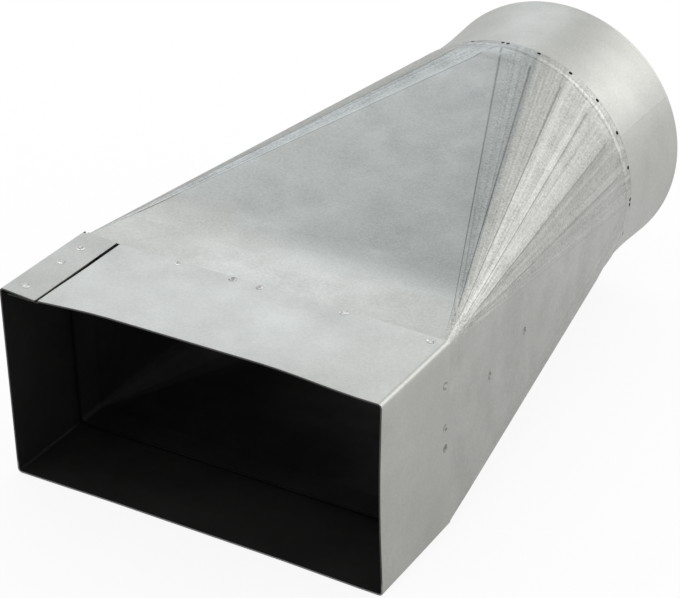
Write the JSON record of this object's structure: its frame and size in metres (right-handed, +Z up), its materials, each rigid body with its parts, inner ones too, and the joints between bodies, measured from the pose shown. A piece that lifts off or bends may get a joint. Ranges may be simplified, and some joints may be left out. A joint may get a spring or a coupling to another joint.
{
  "type": "duct reducer",
  "caption": "Sheet metal duct reducer that joins a rectangular duct to a round one, with a straight rectangular sleeve, a body of fanned folds and a round spigot.",
  "frame": {"origin": "centre of the rectangular mouth, in the plane of its rim", "axes": "+Y along the duct from the rectangular mouth to the round end, +Z up through the side that holds the sleeve's lap"},
  "size_m": [0.16, 0.3, 0.1242],
  "materials": {
    "galvanised_sheet": "galvanised, satin with a fine mottle"
  },
  "bodies": {
    "root": {"rect_sleeve": "galvanised_sheet", "upper_half_shell": "galvanised_sheet", "lower_half_shell": "galvanised_sheet", "round_spigot": "galvanised_sheet"}
  },
  "joints": []
}
